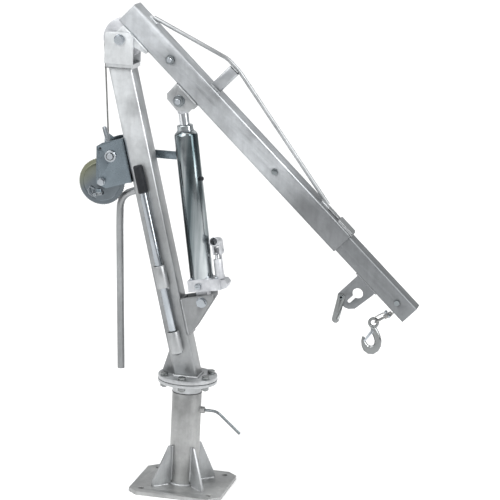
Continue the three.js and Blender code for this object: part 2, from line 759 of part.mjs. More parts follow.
// The latch lever hangs a little off plumb; its outline is drawn upright and turned by that angle.
function keyholeLatch() {
  const { width, length, thick, pin } = LATCH;
  const h = width / 2;
  const near = -KEYHOLE.thick / 2 - GAP;
  const far = near - thick;
  const body = cut(
    join(
      plateXZ([[-h, -length + h], [h, -length + h], [h, 4], [4, h], [-h, 6]], far, near),
      rodY(0, -length + h, h, far, near, 24),
    ),
    rodY(0, 0, pin + GAP, far - 1, near + 1, 16),
  );
  const made = mesh("keyhole_latch", cast(), body);
  made.position.set(LATCH.x, 0, LATCH.z);
  made.rotation.y = LATCH.hang - BOOM.droop;
  return made;
}

// Rope from the tip sheave, its clamp, and the loop through the hook's eye.
function tipRope() {
  const top = [TIP.x + TIP.groove + ROPE + 0.2, 0, BOOM.axisZ];
  const drop = bentBar([top, [TIP.x + 18, 0, 34], [1116, 0, 12]], ROPE, 8, 12, 8);
  const sleeve = bentBar([[1119.4, 0, 26], [1114, 0, 2]], 7, 1, 2, 12);
  const inset = 2;
  const loop = new THREE.CatmullRomCurve3([
    new THREE.Vector3(1115, 3, 6),
    new THREE.Vector3(1112, 11, -8),
    new THREE.Vector3(1109, 11, -20),
    new THREE.Vector3(HOOK.x + 2, 0, HOOK.z + HOOK.bore - ROPE - inset),
    new THREE.Vector3(1109, -11, -20),
    new THREE.Vector3(1112, -11, -8),
    new THREE.Vector3(1115, -3, 6),
  ]);
  return mesh("rope_loop", steelRope(), join(drop, sleeve, sweep(loop, ROPE, 20, 6)));
}

// The hook hangs plumb; its frame is upright and starts at the eye.
function hook() {
  const { eye, bore, thick, pinX, pinZ, pin } = HOOK;
  const back = [[8, -13], [20, -32], [27, -55], [22, -80], [1, -96], [-22, -88], [-32.5, -66], [-31, -45]];
  const tip = [[-24, -46], [-20, -58], [-13, -68], [-3, -71]];
  const throat = [[5, -65], [7, -54], [2, -40], [-5, -27], [-8, -13]];
  const smooth = (points) => {
    const curve = new THREE.SplineCurve(points.map(([x, y]) => new THREE.Vector2(x, y)));
    return curve.getPoints(11);
  };
  const shape = new THREE.Shape([...smooth(back), ...smooth([...tip, ...throat])]);
  const bevel = 3;
  const g = new THREE.ExtrudeGeometry(shape, {
    depth: thick - 2 * bevel,
    bevelEnabled: true,
    bevelThickness: bevel,
    bevelSize: bevel,
    bevelOffset: -bevel,
    bevelSegments: 1,
  });
  g.rotateX(Math.PI / 2);
  g.translate(0, thick / 2 - bevel, 0);
  const side = 5.5;
  const flat = 3;
  const section = [
    [bore, -flat],
    [bore + 2, -side],
    [eye - 2, -side],
    [eye, -flat],
    [eye, flat],
    [eye - 2, side],
    [bore + 2, side],
    [bore, flat],
    [bore, -flat],
  ];
  const ring = turnedY(section, 0, 0, 20);
  const neck = cut(rodZ(0, 0, 6.5, pinZ, -13, 16), rodY(0, 0, bore, -9, 9));
  return mesh("hook", galvanised(), join(solid(g), ring, neck, rodY(pinX, pinZ, pin, -11, 8, 12)));
}

function hookLatch() {
  const { pinX: x, pinZ: z, thick, pin } = HOOK;
  const near = -thick / 2 - GAP;
  const far = near - 1.8;
  const side = [[x - 4, z + 3], [x + 4, z + 3], [x + 3, z - 5], [-20.5, -57], [-25.5, -55]];
  const blade = plateXZ(side, far, near);
  const eye = rodY(x, z, 4.5, far, near, 16);
  const body = cut(join(blade, eye), rodY(x, z, pin + GAP, far - 1, near + 1, 12));
  return mesh("hook_latch", zinc(), body);
}

// ---- jack; Z runs up the ram and the origin is its lower pin ----
function jackPins() {
  const foot = new THREE.Vector3(RAM_FOOT.x, 0, RAM_FOOT.z)
    .applyAxisAngle(new THREE.Vector3(0, 1, 0), -MAST.lean)
    .add(new THREE.Vector3(MAST_FOOT.x, 0, MAST_FOOT.z));
  const head = new THREE.Vector3(RAM_HEAD.x, 0, RAM_HEAD.z)
    .applyAxisAngle(new THREE.Vector3(0, 1, 0), BOOM.droop)
    .add(new THREE.Vector3(PIVOT.x, 0, PIVOT.z));
  const along = head.clone().sub(foot);
  return { foot, length: along.length(), tilt: Math.atan2(-along.x, along.z) };
}
const JACK = jackPins();

function jackBody() {
  const { radius: r, bodyFoot, shoulder, neck, top, bore } = RAM;
  const profile = [
    [0, bodyFoot + GAP],
    [r, bodyFoot + GAP],
    [r, shoulder],
    [r - 2, shoulder + 6],
    [r - 7, neck - 3],
    [r - 11, neck],
    [24, neck],
    [24, top - 3],
    [21, top],
    [0, top],
  ];
  const body = cut(turnedZ(profile, 0, 0, 32), rodZ(0, 0, bore, bodyFoot + 20, top + 1));
  return mesh("jack_cylinder", zinc(), body);
}

function jackBase() {
  const { bodyFoot } = RAM;
  const { rear, front, side, from, lug: round, lugSide, toeSide } = JACK_FOOT;
  const block = box([rear, front], [-side, side], [from, bodyFoot]);
  const nose = [[60, 62], [74, 60], [82, 48], [76, 36], [60, 32]];
  const toe = plateXZ(nose, -toeSide, toeSide);
  const cheek = box([-round, round], [-lugSide, lugSide], [0, from + 1]);
  const lug = join(cheek, rodY(0, 0, round, -lugSide, lugSide));
  const pinHole = rodY(0, 0, RAM_FOOT.bolt + GAP, -lugSide - 1, lugSide + 1);
  const { x, barrelY, barrel, barrelTop, plunger } = PUMP;
  const { y, z, pin: pinRadius, cheekOut } = LEVER;
  const tower = rodZ(x, barrelY, barrel, bodyFoot - 2, barrelTop);
  const bore = rodZ(x, barrelY, plunger + GAP, bodyFoot + 12, barrelTop + 1);
  const post = box([x - 6, x + 6], [y - 7, y + 7], [bodyFoot - 2, z + 8]);
  const pin = rodX(y, z, pinRadius, x - cheekOut - 2, x + cheekOut + 2, 16);
  const valveHole = rodY(VALVE.x, VALVE.z, VALVE.radius + GAP, -side - 1, VALVE.to + 0.5, 24);
  const casting = cut(join(block, toe, lug, tower), pinHole, bore, valveHole);
  return mesh("jack_base", cast(), join(casting, post, pin));
}

function releaseValve() {
  const { x, z, radius, from, to, slot, slotDepth } = VALVE;
  const head = rodY(x, z, radius, from, to, 24);
  const across = [x - radius - 1, x + radius + 1];
  const groove = box(across, [from - 1, from + slotDepth], [z - slot / 2, z + slot / 2]);
  return mesh("release_valve", zinc(), cut(head, groove));
}

function pumpPlunger() {
  const { x, barrelY, plunger, plungerTop } = PUMP;
  return mesh("pump_plunger", chrome(), rodZ(x, barrelY, plunger, RAM.bodyFoot + 28, plungerTop, 20));
}

// Socket tube of the pump lever, open towards the operator, with two cheeks down to its pin.
function pumpLever() {
  const { x } = PUMP;
  const { y, z, pin, socket, bore: hollow, cheekIn, cheekOut } = LEVER;
  const tube = bentBar([[x, 22, 168], [x, -38, 180]], socket, 1, 2, 24);
  const bore = bentBar([[x, 10, 170.4], [x, -50, 182.4]], hollow, 1, 2, 24);
  const cheek = (x0, x1) => box([x0, x1], [y - 30, y + 8], [z - 8, z + 26]);
  const cheeks = join(cheek(x - cheekOut, x - cheekIn), cheek(x + cheekIn, x + cheekOut));
  const pinHole = rodX(y, z, pin + GAP, x - 20, x + 20, 16);
  return mesh("pump_lever", cast(), cut(join(tube, cheeks), bore, pinHole));
}

function jackRod() {
  const top = JACK.length - EYE.radius - EYE.linkGap;
  const { rod, bodyFoot } = RAM;
  const foot = bodyFoot + 44;
  const profile = [[0, foot], [rod, foot], [rod, top - 2], [rod - 2, top], [0, top]];
  return mesh("jack_rod", chrome(), turnedZ(profile, 0, 0));
}

function jackEye() {
  const { radius, halfWidth } = EYE;
  const pinHole = rodY(0, 0, RAM_HEAD.bolt + GAP, -halfWidth - 1, halfWidth + 1);
  const made = mesh("jack_eye", cast(), cut(rodY(0, 0, radius, -halfWidth, halfWidth), pinHole));
  made.position.set(0, 0, JACK.length);
  return made;
}

// ---- assembly ----
function group(name, parts, place) {
  const made = new THREE.Group();
  made.name = name;
  made.add(...parts);
  if (place) place(made);
  return made;
}

const base = group("base", [basePlate(), postPipe(), ...gussets(), lockScrew()]);

const mast = group(
  "mast",
  [mastTube(), mastRib(), lowerJackBracket(), lowerJackBolt(), ...stowSockets(), ...pumpHandle()],
  (g) => {
    g.position.set(MAST_FOOT.x, 0, MAST_FOOT.z);
    g.rotation.y = -MAST.lean;
  },
);

const winch = group("winch", [
  winchFrame(),
  winchAxle(),
  winchDrum(),
  ropeCoil(),
  winchDrive(),
  winchCrank(),
  crankGrip(),
  winchPawl(),
  mastRope(),
]);

const swivel = group("swivel", [
  spigot(),
  flange("flange_lower", FLANGE.lowZ, FLANGE.lowTop),
  flange("flange_upper", FLANGE.highZ, FLANGE.highTop),
  ...flangeBolts(),
  saddle(),
  pivotBolt(),
  swingHandle(),
]);

const hookSet = group("hook_set", [hook(), hookLatch()], (g) => {
  g.position.set(HOOK.x, 0, HOOK.z);
  g.rotation.y = -BOOM.droop;
});

const extension = group("extension", [
  extensionTube(),
  tipAxle(),
  tipSheave(),
  keyholePlate(),
  keyholeLatch(),
  tipRope(),
  hookSet,
]);

const boom = group(
  "boom",
  [
    boomTube(),
    boomEars(),
    pivotSheave(),
    trussBar(),
    trussStrut(),
    upperJackBracket(),
    upperJackBolt(),
    guideBolt(),
    clampScrew(),
    extension,
  ],
  (g) => {
    g.position.set(PIVOT.x, 0, PIVOT.z);
    g.rotation.y = BOOM.droop;
  },
);

const jack = group(
  "jack",
  [jackBody(), jackBase(), releaseValve(), pumpPlunger(), pumpLever(), jackRod(), jackEye()],
  (g) => {
    g.position.copy(JACK.foot);
    g.rotation.y = -JACK.tilt;
  },
);

export default group("hoist_crane", [base, swivel, mast, winch, boom, jack]);
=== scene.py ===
"""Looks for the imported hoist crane: camera, materials, and the fine pieces the solids leave out."""

import json
import math
import random

import bmesh
import bpy
from mathutils import Matrix, Vector


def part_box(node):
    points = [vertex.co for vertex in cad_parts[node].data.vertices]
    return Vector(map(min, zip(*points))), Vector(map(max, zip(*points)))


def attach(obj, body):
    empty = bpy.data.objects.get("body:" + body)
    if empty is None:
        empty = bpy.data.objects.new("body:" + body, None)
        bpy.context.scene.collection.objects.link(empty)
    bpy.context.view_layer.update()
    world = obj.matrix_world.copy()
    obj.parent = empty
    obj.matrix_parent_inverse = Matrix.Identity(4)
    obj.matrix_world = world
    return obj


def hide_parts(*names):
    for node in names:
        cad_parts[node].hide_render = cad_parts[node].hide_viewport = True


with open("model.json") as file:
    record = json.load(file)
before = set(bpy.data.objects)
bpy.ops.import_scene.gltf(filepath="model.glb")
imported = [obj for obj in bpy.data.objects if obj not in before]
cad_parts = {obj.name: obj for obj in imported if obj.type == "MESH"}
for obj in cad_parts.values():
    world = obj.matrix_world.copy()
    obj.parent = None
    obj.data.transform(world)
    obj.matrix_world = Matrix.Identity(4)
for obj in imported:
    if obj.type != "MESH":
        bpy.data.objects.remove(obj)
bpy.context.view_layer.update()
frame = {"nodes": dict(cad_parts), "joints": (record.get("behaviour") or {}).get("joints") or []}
NODES = frame["nodes"]
JOINTS = {j["name"]: j for j in frame["joints"]}
MM = 0.001
NEAR, FAR = -1, 1  # the two sides of the crane, along Y
SIDE_NAME = {NEAR: "near", FAR: "far"}


def joint_point(name):
    return Vector(JOINTS[name]["pos_m"])


def joint_axis(name):
    return Vector(JOINTS[name]["axis"]).normalized()


class Local:
    """A frame turned about Y: x and z lie in the plane of the crane, lengths are in millimetres."""

    def __init__(self, origin, z_axis=(0, 0, 1)):
        self.origin = Vector(origin)
        self.z = Vector(z_axis).normalized()
        self.x = Vector((self.z.z, 0, -self.z.x))
        self.y = Vector((0, 1, 0))

    def at(self, x, y, z):
        return self.origin + (self.x * x + self.y * y + self.z * z) * MM


WORLD = Local((0, 0, 0))
BOOM_X = joint_axis("extension_slide")
BOOM = Local(joint_point("boom_lift"), (-BOOM_X.z, 0, BOOM_X.x))
JACK = Local(joint_point("jack_tilt"), joint_axis("rod_slide"))
MAST = Local((0.001, 0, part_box("flange_upper")[1].z + 0.0003), joint_axis("handle_lift"))

# ---- sizes, in millimetres ----
POST_RADIUS = 44.5
TUBE_HALF = 35  # half the side of the mast and boom tubes
BOOM_AXIS_Z = 67.6  # the boom tube's centre above the pivot, in the boom's frame
BOOM_UNDER = BOOM_AXIS_Z - TUBE_HALF
BOOM_TOP = BOOM_AXIS_Z + TUBE_HALF + 0.3
EXTENSION_UNDER = BOOM_AXIS_Z - 30
ROPE_RADIUS = 2.5
SHEAVE_ROPE = 57.7  # radius at which the rope lies on the pivot sheave

# Stretches along the boom that welded pieces cover.
EARS = (-22, 80)
UPPER_BRACKET = (208, 288)
TRUSS_ENDS = (("rear", 8, 40, 43), ("front", 742, 798, 44))  # name, start, stop, seed of the beads
STRUT_X = 292.5
STRUT_TOP = 180
TRUSS_FOOT = (772, 812)
END_PLATE = (815, 872)
MOUTH_LIP = (866, 875.5)
KEYHOLE_STRIP = (966, 1046)
KEYHOLE_PLATE = (974, 1042)
LATCH_PIN = (986, -50)

# Heights up the mast of welded pieces, in the mast's frame.
LOWER_BRACKET = (124, 233)
RIB = (12, 90)
SWING_ROOT = 571
HOLDER_ENDS = (("guide_foot", 279), ("guide_head", 346), ("cup_foot", 84), ("cup_head", 144))
HOLDER_X = -3


# ---- camera ----
CAMERA_AT = Vector((1.4466, -6.0489, 2.0824))
CAMERA_AZIMUTH, CAMERA_ELEVATION, CAMERA_ROLL = (math.radians(a) for a in (11.905, 12.209, 2.795))
CAMERA_LENS = 154.95


def build_camera():
    flat = math.cos(CAMERA_ELEVATION)
    back = Vector(
        (
            math.sin(CAMERA_AZIMUTH) * flat,
            -math.cos(CAMERA_AZIMUTH) * flat,
            math.sin(CAMERA_ELEVATION),
        )
    )
    level = Vector((math.cos(CAMERA_AZIMUTH), math.sin(CAMERA_AZIMUTH), 0))
    rise = back.cross(level)
    right = level * math.cos(CAMERA_ROLL) + rise * math.sin(CAMERA_ROLL)
    up = -level * math.sin(CAMERA_ROLL) + rise * math.cos(CAMERA_ROLL)
    data = bpy.data.cameras.new("camera")
    data.sensor_fit = "HORIZONTAL"
    data.sensor_width = 36
    data.lens = CAMERA_LENS
    data.clip_end = 200
    camera = bpy.data.objects.new("camera", data)
    bpy.context.scene.collection.objects.link(camera)
    camera.matrix_world = Matrix(
        (
            (right.x, up.x, back.x, CAMERA_AT.x),
            (right.y, up.y, back.y, CAMERA_AT.y),
            (right.z, up.z, back.z, CAMERA_AT.z),
            (0, 0, 0, 1),
        )
    )
    bpy.context.scene.camera = camera


# ---- materials ----
MIX_FIRST, MIX_SECOND, MIXED_COLOUR = 6, 7, 2  # sockets of the colour mix node
JACK_NECK_Z = 1.0785  # metres: the ram's neck starts at this height
DRUM_HIGHLIGHT_FROM = 1.2  # metres up less metres forward, where the drum's painted yellowish highlight starts


class Paint:
    """Small builder for a node material."""

    def __init__(self, name):
        self.material = bpy.data.materials.new(name)
        self.material.use_nodes = True
        self.tree = self.material.node_tree
        self.tree.nodes.clear()
        self.out = self.node("ShaderNodeOutputMaterial")
        self.shader = self.node("ShaderNodeBsdfPrincipled")
        self.link(self.shader, "BSDF", self.out, "Surface")
        self.coords = self.node("ShaderNodeTexCoord")

    def node(self, kind, **values):
        made = self.tree.nodes.new(kind)
        for key, value in values.items():
            if hasattr(made, key):
                setattr(made, key, value)
            else:
                made.inputs[key.replace("_", " ")].default_value = value
        return made

    def link(self, a, a_out, b, b_in):
        if a.bl_idname == "ShaderNodeMix":
            a_out = MIXED_COLOUR
        self.tree.links.new(a.outputs[a_out], b.inputs[b_in])

    def noise(self, scale, detail=4.0, roughness=0.6, stretch=None):
        made = self.node("ShaderNodeTexNoise", Scale=scale, Detail=detail, Roughness=roughness)
        if stretch:
            mapping = self.node("ShaderNodeMapping")
            mapping.inputs["Scale"].default_value = stretch
            self.link(self.coords, "Object", mapping, "Vector")
            self.link(mapping, "Vector", made, "Vector")
        else:
            self.link(self.coords, "Object", made, "Vector")
        return made

    def cells(self, scale):
        made = self.node("ShaderNodeTexVoronoi", feature="F1", Scale=scale)
        self.link(self.coords, "Object", made, "Vector")
        return made

    def place(self):
        made = self.node("ShaderNodeSeparateXYZ")
        self.link(self.coords, "Object", made, "Vector")
        return made

    def ramp(self, source, output, stops):
        made = self.node("ShaderNodeValToRGB")
        points = made.color_ramp.elements
        while len(points) < len(stops):
            points.new(0.5)
        for point, (place, colour) in zip(points, stops):
            point.position = place
            point.color = (*colour, 1)
        self.link(source, output, made, "Fac")
        return made

    def grey(self, source, output, low, high, start=0.3, stop=0.7):
        return self.ramp(source, output, [(start, (low,) * 3), (stop, (high,) * 3)])

    def plain(self, colour):
        made = self.node("ShaderNodeRGB")
        made.outputs[0].default_value = (*colour, 1)
        return made

    def mix(self, a, b, factor, blend="MIX"):
        made = self.node("ShaderNodeMix", data_type="RGBA", blend_type=blend)
        self.link(a, "Color", made, MIX_FIRST)
        self.link(b, "Color", made, MIX_SECOND)
        if isinstance(factor, (int, float)):
            made.inputs[0].default_value = factor
        else:
            self.link(factor[0], factor[1], made, 0)
        return made

    def bump(self, source, output, strength, distance):
        made = self.node("ShaderNodeBump", Strength=strength, Distance=distance)
        self.link(source, output, made, "Height")
        return made

    def colour_from(self, source):
        self.link(source, "Color", self.shader, "Base Color")

    def roughness_from(self, source, low, high, start=0.3, stop=0.7):
        self.link(self.grey(source, "Fac", low, high, start, stop), "Color", self.shader, "Roughness")

    def bump_from(self, source, strength, distance):
        self.link(self.bump(source, "Fac", strength, distance), "Normal", self.shader, "Normal")

    def set(self, **values):
        for key, value in values.items():
            self.shader.inputs[key.replace("_", " ")].default_value = value
        return self


def scaled(colour, factor):
    return tuple(factor * c for c in colour)


ZINC_GREY = (0.455, 0.468, 0.476)


def galvanised(name, light=1.0, rough=0.0, cloudy=1.0, zinc=ZINC_GREY, low=0.62, rise=(0.82, 1.32)):
    """Hot-dip zinc: cloudy greys, faint crystals and drips, and painted shade that makes it darker lower
    down (`rise` is in metres).
    """
    p = Paint(name)
    cloud = p.noise(5.5, 6, 0.62)
    tones = [(0.30, 1 - 0.26 * cloudy), (0.50, 1.0), (0.70, 1 + 0.28 * cloudy)]
    colour = p.ramp(cloud, "Fac", [(at, scaled(zinc, light * tone)) for at, tone in tones])
    crystal = p.grey(p.cells(95), "Color", 0.88, 1.0, 0.1, 0.9)
    tinted = p.mix(colour, crystal, 0.6, "MULTIPLY")
    streak = p.noise(16, 5, 0.7, stretch=(2.4, 2.4, 0.35))
    drip = p.grey(streak, "Fac", 0.80, 1.0, 0.36, 0.60)
    ran = p.mix(tinted, drip, 0.6, "MULTIPLY")
    # painted shade: the zinc is painted darker lower down and lighter higher up, by height in the world
    painted_height_shade = p.grey(p.place(), "Z", low, 1.0, *rise)
    p.colour_from(p.mix(ran, painted_height_shade, 0.9, "MULTIPLY"))
    p.roughness_from(p.noise(11, 5, 0.6), 0.30 + rough, 0.50 + rough, 0.32, 0.68)
    small = p.bump(p.noise(160, 3, 0.55), "Fac", 0.12, 0.0006)
    large = p.bump(p.noise(22, 4, 0.5), "Fac", 0.22, 0.0016)
    p.link(small, "Normal", large, "Normal")
    p.link(large, "Normal", p.shader, "Normal")
    return p.set(Metallic=0.88).material


def bright_zinc(name, base, low, high, film=None):
    """Electroplated zinc: smoother and bluer, with faint handling marks and perhaps a painted coloured
    highlight (`film`).
    """
    p = Paint(name)
    cloud = p.noise(18, 5, 0.6)
    colour = p.ramp(cloud, "Fac", [(0.3, scaled(base, 0.80)), (0.7, base)])
    if film:
        # painted highlight: the film colour is laid on where the mask says
        colour = p.mix(colour, p.plain(film), (painted_highlight_mask(p), "Color"))
    p.colour_from(colour)
    p.roughness_from(p.noise(60, 5, 0.65), low, high, 0.35, 0.65)
    p.bump_from(p.noise(140, 3, 0.5), 0.08, 0.0004)
    return p.set(Metallic=1.0).material


def painted_highlight_mask(p):
    """Where the drum's painted yellowish highlight lies: stronger towards the upper rear of the drum."""
    place = p.place()
    slope = p.node("ShaderNodeMath", operation="SUBTRACT")
    p.link(place, "Z", slope, 0)
    p.link(place, "X", slope, 1)
    shifted = p.node("ShaderNodeMath", operation="SUBTRACT")
    shifted.inputs[1].default_value = DRUM_HIGHLIGHT_FROM
    p.link(slope, "Value", shifted, 0)
    return p.grey(shifted, "Value", 0, 0.75, 0.02, 0.10)


def jack_zinc(name):
    """Plated ram tube: long dark and bright bands, partly drawn-tube lines and partly a painted reflection
    of the surroundings, and a paler neck.
    """
    p = Paint(name)
    # painted reflection: the dark and bright bands also stand for what the tube mirrors
    drawn_lines_and_reflection = p.noise(3.0, 3, 0.5, stretch=(9.0, 9.0, 0.25))
    tones = [(0.36, (0.03, 0.045, 0.05)), (0.50, (0.15, 0.18, 0.19)), (0.66, (0.44, 0.47, 0.48))]
    colour = p.ramp(drawn_lines_and_reflection, "Fac", tones)
    wear = p.noise(24, 5, 0.65)
    worn = p.mix(colour, p.grey(wear, "Fac", 0.82, 1.0), 0.8, "MULTIPLY")
    neck = p.node("ShaderNodeMath", operation="GREATER_THAN")
    neck.inputs[1].default_value = JACK_NECK_Z
    p.link(p.place(), "Z", neck, 0)
    p.colour_from(p.mix(worn, p.plain((0.42, 0.45, 0.46)), (neck, "Value")))
    p.roughness_from(wear, 0.10, 0.22)
    p.bump_from(p.noise(140, 3, 0.5), 0.06, 0.0004)
    return p.set(Metallic=1.0).material


def cast_silver(name):
    """Castings and sheaves: grainy silver paint."""
    p = Paint(name)
    tones = [(0.3, (0.36, 0.37, 0.39)), (0.7, (0.60, 0.61, 0.63))]
    p.colour_from(p.ramp(p.noise(26, 6, 0.65), "Fac", tones))
    grain = p.noise(230, 4, 0.6)
    p.roughness_from(grain, 0.34, 0.56)
    p.bump_from(grain, 0.35, 0.0007)
    return p.set(Metallic=0.85).material


def chrome(name):
    """Polished rod with a thin uneven film of oil."""
    p = Paint(name)
    film = p.noise(50, 4, 0.6)
    p.roughness_from(film, 0.03, 0.10)
    p.colour_from(p.ramp(film, "Fac", [(0.3, (0.60, 0.62, 0.64)), (0.7, (0.72, 0.73, 0.74))]))
    return p.set(Metallic=1.0).material


def rubber(name):
    """Black grip rubber with a little dust."""
    p = Paint(name)
    dust = p.noise(70, 5, 0.65)
    p.colour_from(p.ramp(dust, "Fac", [(0.35, (0.006, 0.007, 0.009)), (0.75, (0.018, 0.020, 0.024))]))
    p.roughness_from(dust, 0.42, 0.66)
    p.bump_from(p.noise(320, 3, 0.5), 0.25, 0.0004)
    return p.set(Specular_IOR_Level=0.25).material


def wire_steel(name):
    """Greasy wire rope."""
    p = Paint(name)
    grime = p.noise(120, 5, 0.7)
    p.colour_from(p.ramp(grime, "Fac", [(0.3, (0.13, 0.13, 0.13)), (0.7, (0.34, 0.34, 0.33))]))
    p.roughness_from(grime, 0.30, 0.55)
    p.bump_from(p.noise(700, 2, 0.5), 0.4, 0.0003)
    return p.set(Metallic=0.9).material


def floor_paint(name):
    p = Paint(name)
    p.colour_from(p.ramp(p.noise(2, 3, 0.5), "Fac", [(0.3, (0.90,) * 3), (0.7, (0.93,) * 3)]))
    return p.set(Roughness=0.9).material


COOL_GREY = (0.440, 0.460, 0.475)
# low and rise set how much painted height shade each galvanised finish gets
GALV = galvanised("galvanised", light=0.86, cloudy=0.9)
GALV_MAST = galvanised("galvanised_mast", light=1.14, cloudy=1.1, low=0.50)
GALV_PALE = galvanised("galvanised_pale", light=1.26, cloudy=1.1)
GALV_BOOM = galvanised(
    "galvanised_boom", light=0.96, zinc=(0.445, 0.462, 0.478), low=0.40, rise=(0.90, 1.36)
)
GALV_POST = galvanised("galvanised_post", light=1.24, cloudy=1.35, zinc=(0.458, 0.463, 0.460))
GALV_LUMPY = galvanised("galvanised_lumpy", light=1.42, rough=-0.06, cloudy=2.0)
GALV_DARK = galvanised("galvanised_dark", light=0.66, cloudy=0.7, zinc=COOL_GREY)
GALV_WELD = galvanised("galvanised_weld", light=1.35, cloudy=1.6)
ZINC = bright_zinc("bright_zinc", (0.40, 0.43, 0.46), 0.08, 0.22)
BOLT_DARK = bright_zinc("dulled_zinc", (0.22, 0.24, 0.25), 0.12, 0.28)
FORGED = bright_zinc("forged_hook", (0.23, 0.24, 0.24), 0.12, 0.30)
# painted shade: black strips laid in gaps, under the saddle and in a hole of the winch plate
SEAM_SHADOW = rubber("seam_shadow")
JACK_ZINC = jack_zinc("jack_zinc")
PLATED = bright_zinc("winch_plating", (0.175, 0.21, 0.235), 0.20, 0.36)
# The drum's yellowish tint is a painted highlight on its upper rear.
PLATED_YELLOW = bright_zinc("winch_plating_highlight", (0.135, 0.155, 0.17), 0.14, 0.26, (0.24, 0.24, 0.13))
CAST = cast_silver("cast_silver")
CHROME = chrome("hard_chrome")
RUBBER = rubber("black_rubber")
WIRE = wire_steel("wire_rope")

FINISHES = (
    (RUBBER, ("pump_handle_grip", "crank_grip")),
    (JACK_ZINC, ("jack_cylinder",)),
    (CHROME, ("jack_rod", "pump_plunger")),
    (PLATED_YELLOW, ("winch_drum",)),
    (PLATED, ("winch_frame", "winch_crank")),
    (FORGED, ("hook", "keyhole_latch")),
    (BOLT_DARK, ("lock_screw", "guide_bolt", "jack_bolt_upper", "clamp_screw", "tip_axle")),
    (CAST, ("jack_base", "pump_lever", "jack_eye", "pivot_sheave", "tip_sheave")),
    (GALV_BOOM, ("boom_tube", "truss_strut")),
    (GALV_MAST, ("mast_tube", "swing_handle")),
    (GALV_PALE, ("saddle", "boom_ears", "handle_guide", "handle_cup")),
    (GALV_POST, ("post_pipe", "base_plate")),
    (GALV_LUMPY, ("flange_upper", "flange_lower", "spigot")),
    (GALV_DARK, ("extension_tube", "keyhole_plate")),
    (ZINC, ("winch_axle", "winch_drive", "winch_pawl", "hook_latch", "release_valve", "pump_handle_tube")),
)
FINISH_BY_START = (("rope", WIRE), ("gusset", GALV_PALE), ("flange_bolt", FORGED))


def finish_of(name):
    for paint, names in FINISHES:
        if name in names:
            return paint
    for start, paint in FINISH_BY_START:
        if name.startswith(start):
            return paint
    return ZINC if "bolt" in name else GALV


BROKEN_EDGE = 0.8
BROKEN_EDGE_OF = {
    "base_plate": 1.2,
    "extension_tube": 1.3,
    "saddle": 1.4,
    "winch_frame": 0.5,
    "hook_latch": 0.3,
}


def dress_nodes():
    """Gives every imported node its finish, softly broken edges and smooth round faces."""
    for name, node in NODES.items():
        node.data.materials.clear()
        node.data.materials.append(finish_of(name))
        weld = node.modifiers.new("weld", "WELD")
        weld.merge_threshold = 1e-6
        bevel = node.modifiers.new("bevel", "BEVEL")
        bevel.width = BROKEN_EDGE_OF.get(name, BROKEN_EDGE) * MM
        bevel.segments = 2
        bevel.limit_method = "ANGLE"
        bevel.angle_limit = math.radians(38)
        bevel.use_clamp_overlap = True
        smooth(node)


def smooth(obj):
    for polygon in obj.data.polygons:
        polygon.use_smooth = True
    split = obj.modifiers.new("split", "EDGE_SPLIT")
    split.split_angle = math.radians(33)


# ---- mesh pieces: points are in metres, sizes in millimetres ----
def add_mesh(name, vertices, faces, paint, body, split=True):
    data = bpy.data.meshes.new(name)
    data.from_pydata([tuple(v) for v in vertices], [], faces)
    tidy = bmesh.new()
    tidy.from_mesh(data)
    bmesh.ops.recalc_face_normals(tidy, faces=tidy.faces)
    tidy.to_mesh(data)
    tidy.free()
    data.materials.append(paint)
    obj = bpy.data.objects.new(name, data)
    bpy.context.scene.collection.objects.link(obj)
    if split:
        smooth(obj)
    else:
        for polygon in data.polygons:
            polygon.use_smooth = True
    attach(obj, body)
    return obj


def angles(count):
    return [math.tau * i / count for i in range(count)]


def frames_along(points):
    """Each point of a line with its tangent and two side directions, without twist."""
    made = []
    side = None
    for i, point in enumerate(points):
        ahead = points[min(i + 1, len(points) - 1)]
        behind = points[max(i - 1, 0)]
        tangent = (ahead - behind).normalized()
        if side is None:
            side = Vector((0, 1, 0)) if abs(tangent.y) < 0.9 else Vector((1, 0, 0))
        side = (side - tangent * side.dot(tangent)).normalized()
        made.append((point, tangent, side, tangent.cross(side)))
    return made


def skin(rings, sides, closed=True):
    """Vertices and faces of a skin over rings of points."""
    vertices = [point for ring in rings for point in ring]
    faces = []
    for row in range(1, len(rings)):
        here, before = row * sides, (row - 1) * sides
        for k in range(sides):
            n = (k + 1) % sides
            faces.append((before + k, before + n, here + n, here + k))
    if closed:
        last = (len(rings) - 1) * sides
        faces.append(tuple(reversed(range(sides))))
        faces.append(tuple(range(last, last + sides)))
    return vertices, faces


def tube_data(points, radii, sides=12):
    rings = []
    for i, (centre, _, u, v) in enumerate(frames_along(points)):
        reach = (radii[i] if isinstance(radii, (list, tuple)) else radii) * MM
        rings.append([centre + (u * math.cos(a) + v * math.sin(a)) * reach for a in angles(sides)])
    return skin(rings, sides)


def add_tube(name, points, radii, paint, body, sides=12):
    vertices, faces = tube_data(points, radii, sides)
    return add_mesh(name, vertices, faces, paint, body)


def line(a, b, steps):
    return [a.lerp(b, i / steps) for i in range(steps + 1)]


def closer(points, step):
    """The same line with a point about every `step` millimetres."""
    dense = []
    for a, b in zip(points, points[1:]):
        count = max(1, int((b - a).length / (step * MM)))
        dense += line(a, b, count)[:-1]
    dense.append(points[-1])
    return dense


def arc(local, radius, start, stop, steps):
    """Points on an arc about a local frame's origin, angles in degrees from its x axis."""
    made = []
    for i in range(steps + 1):
        a = math.radians(start + (stop - start) * i / steps)
        made.append(local.at(radius * math.cos(a), 0, radius * math.sin(a)))
    return made


def level_ring(local, radius, z, steps):
    """Closed circle round a local z axis."""
    made = [local.at(radius * math.cos(a), radius * math.sin(a), z) for a in angles(steps)]
    return made + made[:1]


def side_ring(local, radius, y, steps):
    """Closed circle round a local y axis."""
    made = [local.at(radius * math.cos(a), y, radius * math.sin(a)) for a in angles(steps)]
    return made + made[:1]


def square_ring(local, half_x, half_y, z):
    signs = ((-1, -1), (1, -1), (1, 1), (-1, 1), (-1, -1))
    return [local.at(sx * half_x, sy * half_y, z) for sx, sy in signs]


